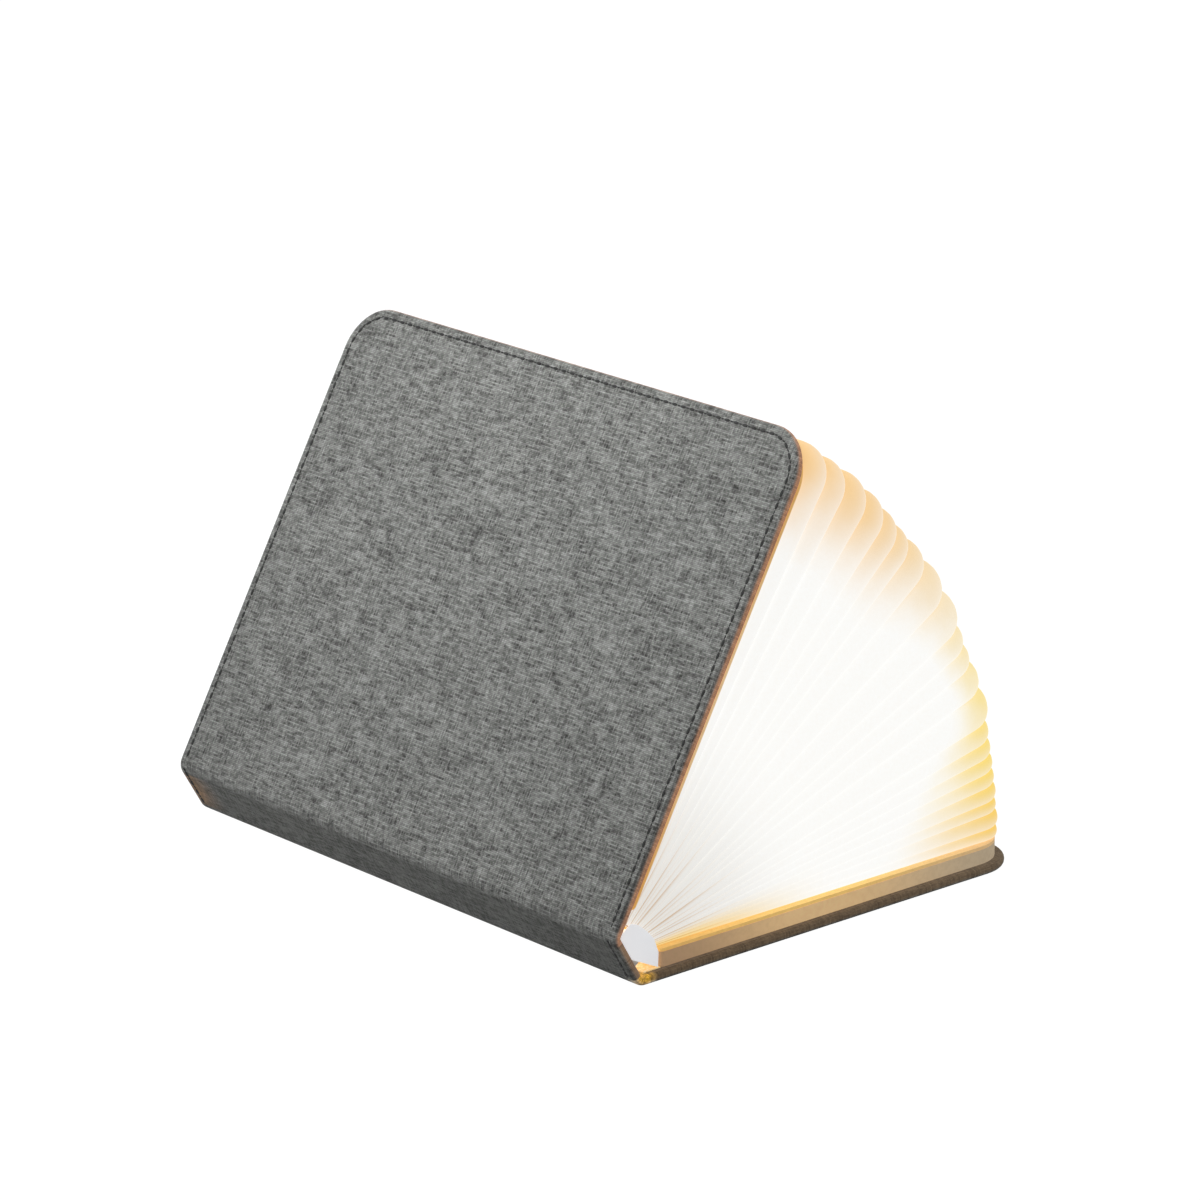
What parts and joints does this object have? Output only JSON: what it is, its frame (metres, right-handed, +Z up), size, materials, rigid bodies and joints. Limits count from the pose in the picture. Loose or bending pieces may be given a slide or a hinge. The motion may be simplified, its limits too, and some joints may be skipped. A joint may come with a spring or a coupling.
{
  "type": "folding book lamp",
  "caption": "Cloth-bound book lamp standing part open, a pleated paper page fan glowing from a lit hub on its spine",
  "frame": {"origin": "the centre of the underside of the back cover, on which the lamp stands", "axes": "+X from the spine to the fore edge, +Y along the spine from the near end to the far end with the charging inlet, +Z up"},
  "size_m": [0.1713, 0.215, 0.158],
  "materials": {
    "book_cloth": "heather-grey linen-look book cloth, plain weave",
    "greyboard": "raw grey pulp board",
    "tray_board": "cream board, matt",
    "end_board": "cream card lit amber through its edge",
    "page_paper": "white spun fibre paper, translucent, lit warm from inside",
    "white_plastic": "fine matt moulding",
    "diffuser": "milky light diffuser",
    "circuit": "solder-masked circuit board",
    "steel": "plated",
    "cell_pouch": "laminated foil pouch"
  },
  "bodies": {
    "back_cover": {"back_cover_cloth": "book_cloth", "back_cover_board": "greyboard", "back_tray": "tray_board", "back_end_board": "end_board", "back_gutter_lining": "page_paper", "battery_pack": "cell_pouch", "control_board": "circuit", "magnetic_switch": "white_plastic", "back_magnet_near": "steel", "back_magnet_far": "steel", "battery_lead": "circuit", "back_hinge_cloth": "book_cloth", "page_leaf_00": "page_paper"},
    "spine": {"spine_cloth": "book_cloth", "spine_board": "greyboard", "hub_channel": "white_plastic", "hub_diffuser": "diffuser", "led_strip": "circuit", "hub_near_cap": "white_plastic", "hub_far_cap": "white_plastic", "charging_socket": "steel", "charging_board": "circuit", "near_end_flap": "page_paper", "far_end_flap": "page_paper"},
    "front_cover": {"front_cover_cloth": "book_cloth", "front_cover_board": "greyboard", "front_tray": "tray_board", "front_end_board": "end_board", "front_gutter_lining": "page_paper", "front_magnet_near": "steel", "front_magnet_far": "steel", "switch_magnet": "steel", "front_hinge_cloth": "book_cloth", "page_leaf_21": "page_paper"},
    "page_01": {"page_leaf_01": "page_paper"},
    "page_02": {"page_leaf_02": "page_paper"},
    "page_03": {"page_leaf_03": "page_paper"},
    "page_04": {"page_leaf_04": "page_paper"},
    "page_05": {"page_leaf_05": "page_paper"},
    "page_06": {"page_leaf_06": "page_paper"},
    "page_07": {"page_leaf_07": "page_paper"},
    "page_08": {"page_leaf_08": "page_paper"},
    "page_09": {"page_leaf_09": "page_paper"},
    "page_10": {"page_leaf_10": "page_paper"},
    "page_11": {"page_leaf_11": "page_paper"},
    "page_12": {"page_leaf_12": "page_paper"},
    "page_13": {"page_leaf_13": "page_paper"},
    "page_14": {"page_leaf_14": "page_paper"},
    "page_15": {"page_leaf_15": "page_paper"},
    "page_16": {"page_leaf_16": "page_paper"},
    "page_17": {"page_leaf_17": "page_paper"},
    "page_18": {"page_leaf_18": "page_paper"},
    "page_19": {"page_leaf_19": "page_paper"},
    "page_20": {"page_leaf_20": "page_paper"}
  },
  "joints": [
    {"name": "back_hinge", "type": "hinge", "parent": "back_cover", "child": "spine", "pos_m": [-0.081, 0, 0], "axis": [0, -1, 0], "range_deg": [-30.25, 59.75], "deforming": ["back_hinge_cloth", "battery_lead", "page_leaf_00", "near_end_flap", "far_end_flap"]},
    {"name": "front_hinge", "type": "hinge", "parent": "spine", "child": "front_cover", "pos_m": [-0.09108, 0, 0.01728], "axis": [0, -1, 0], "range_deg": [-30.26, 59.76], "deforming": ["front_hinge_cloth", "page_leaf_21"]},
    {"name": "turn_12", "type": "hinge", "parent": "spine", "child": "page_12", "pos_m": [-0.081, 0, 0], "axis": [0, -1, 0], "range_deg": [-6.93, 3.52], "deforming": ["page_leaf_12"]},
    {"name": "turn_11", "type": "hinge", "parent": "page_12", "child": "page_11", "pos_m": [-0.081, 0, 0], "axis": [0, -1, 0], "range_deg": [-5.55, 2.81], "deforming": ["page_leaf_11"]},
    {"name": "turn_10", "type": "hinge", "parent": "page_11", "child": "page_10", "pos_m": [-0.081, 0, 0], "axis": [0, -1, 0], "range_deg": [-4.96, 2.51], "deforming": ["page_leaf_10"]},
    {"name": "turn_09", "type": "hinge", "parent": "page_10", "child": "page_09", "pos_m": [-0.081, 0, 0], "axis": [0, -1, 0], "range_deg": [-6.74, 3.42], "deforming": ["page_leaf_09"]},
    {"name": "turn_08", "type": "hinge", "parent": "page_09", "child": "page_08", "pos_m": [-0.081, 0, 0], "axis": [0, -1, 0], "range_deg": [-7.92, 4.02], "deforming": ["page_leaf_08"]},
    {"name": "turn_07", "type": "hinge", "parent": "page_08", "child": "page_07", "pos_m": [-0.081, 0, 0], "axis": [0, -1, 0], "range_deg": [-4.56, 2.31], "deforming": ["page_leaf_07"]},
    {"name": "turn_06", "type": "hinge", "parent": "page_07", "child": "page_06", "pos_m": [-0.081, 0, 0], "axis": [0, -1, 0], "range_deg": [-3.77, 1.91], "deforming": ["page_leaf_06"]},
    {"name": "turn_05", "type": "hinge", "parent": "page_06", "child": "page_05", "pos_m": [-0.081, 0, 0], "axis": [0, -1, 0], "range_deg": [-3.57, 1.81], "deforming": ["page_leaf_05"]},
    {"name": "turn_04", "type": "hinge", "parent": "page_05", "child": "page_04", "pos_m": [-0.081, 0, 0], "axis": [0, -1, 0], "range_deg": [-3.37, 1.71], "deforming": ["page_leaf_04"]},
    {"name": "turn_03", "type": "hinge", "parent": "page_04", "child": "page_03", "pos_m": [-0.081, 0, 0], "axis": [0, -1, 0], "range_deg": [-3.57, 1.81], "deforming": ["page_leaf_03"]},
    {"name": "turn_02", "type": "hinge", "parent": "page_03", "child": "page_02", "pos_m": [-0.081, 0, 0], "axis": [0, -1, 0], "range_deg": [-2.78, 1.41], "deforming": ["page_leaf_02"]},
    {"name": "turn_01", "type": "hinge", "parent": "page_02", "child": "page_01", "pos_m": [-0.081, 0, 0], "axis": [0, -1, 0], "range_deg": [-3.57, 1.81], "deforming": ["page_leaf_01"]},
    {"name": "turn_13", "type": "hinge", "parent": "spine", "child": "page_13", "pos_m": [-0.09108, 0, 0.01728], "axis": [0, -1, 0], "range_deg": [-1.11, 2.19], "deforming": ["page_leaf_13"]},
    {"name": "turn_14", "type": "hinge", "parent": "page_13", "child": "page_14", "pos_m": [-0.09108, 0, 0.01728], "axis": [0, -1, 0], "range_deg": [-4.62, 9.11], "deforming": ["page_leaf_14"]},
    {"name": "turn_15", "type": "hinge", "parent": "page_14", "child": "page_15", "pos_m": [-0.09108, 0, 0.01728], "axis": [0, -1, 0], "range_deg": [-3.62, 7.13], "deforming": ["page_leaf_15"]},
    {"name": "turn_16", "type": "hinge", "parent": "page_15", "child": "page_16", "pos_m": [-0.09108, 0, 0.01728], "axis": [0, -1, 0], "range_deg": [-2.71, 5.35], "deforming": ["page_leaf_16"]},
    {"name": "turn_17", "type": "hinge", "parent": "page_16", "child": "page_17", "pos_m": [-0.09108, 0, 0.01728], "axis": [0, -1, 0], "range_deg": [-3.02, 5.95], "deforming": ["page_leaf_17"]},
    {"name": "turn_18", "type": "hinge", "parent": "page_17", "child": "page_18", "pos_m": [-0.09108, 0, 0.01728], "axis": [0, -1, 0], "range_deg": [-3.62, 7.13], "deforming": ["page_leaf_18"]},
    {"name": "turn_19", "type": "hinge", "parent": "page_18", "child": "page_19", "pos_m": [-0.09108, 0, 0.01728], "axis": [0, -1, 0], "range_deg": [-4.02, 7.92], "deforming": ["page_leaf_19"]},
    {"name": "turn_20", "type": "hinge", "parent": "page_19", "child": "page_20", "pos_m": [-0.09108, 0, 0.01728], "axis": [0, -1, 0], "range_deg": [-3.52, 6.93], "deforming": ["page_leaf_20"]}
  ],
  "couplings": [
    {"joint": "front_hinge", "follows": "back_hinge", "ratio": 1},
    {"joint": "turn_12", "follows": "back_hinge", "ratio": -0.11589},
    {"joint": "turn_11", "follows": "back_hinge", "ratio": -0.092715},
    {"joint": "turn_10", "follows": "back_hinge", "ratio": -0.082781},
    {"joint": "turn_09", "follows": "back_hinge", "ratio": -0.11258},
    {"joint": "turn_08", "follows": "back_hinge", "ratio": -0.13245},
    {"joint": "turn_07", "follows": "back_hinge", "ratio": -0.076159},
    {"joint": "turn_06", "follows": "back_hinge", "ratio": -0.062914},
    {"joint": "turn_05", "follows": "back_hinge", "ratio": -0.059603},
    {"joint": "turn_04", "follows": "back_hinge", "ratio": -0.056291},
    {"joint": "turn_03", "follows": "back_hinge", "ratio": -0.059603},
    {"joint": "turn_02", "follows": "back_hinge", "ratio": -0.046358},
    {"joint": "turn_01", "follows": "back_hinge", "ratio": -0.059603},
    {"joint": "turn_13", "follows": "back_hinge", "ratio": 0.036424},
    {"joint": "turn_14", "follows": "back_hinge", "ratio": 0.15232},
    {"joint": "turn_15", "follows": "back_hinge", "ratio": 0.11921},
    {"joint": "turn_16", "follows": "back_hinge", "ratio": 0.089404},
    {"joint": "turn_17", "follows": "back_hinge", "ratio": 0.099338},
    {"joint": "turn_18", "follows": "back_hinge", "ratio": 0.11921},
    {"joint": "turn_19", "follows": "back_hinge", "ratio": 0.13245},
    {"joint": "turn_20", "follows": "back_hinge", "ratio": 0.11589}
  ]
}
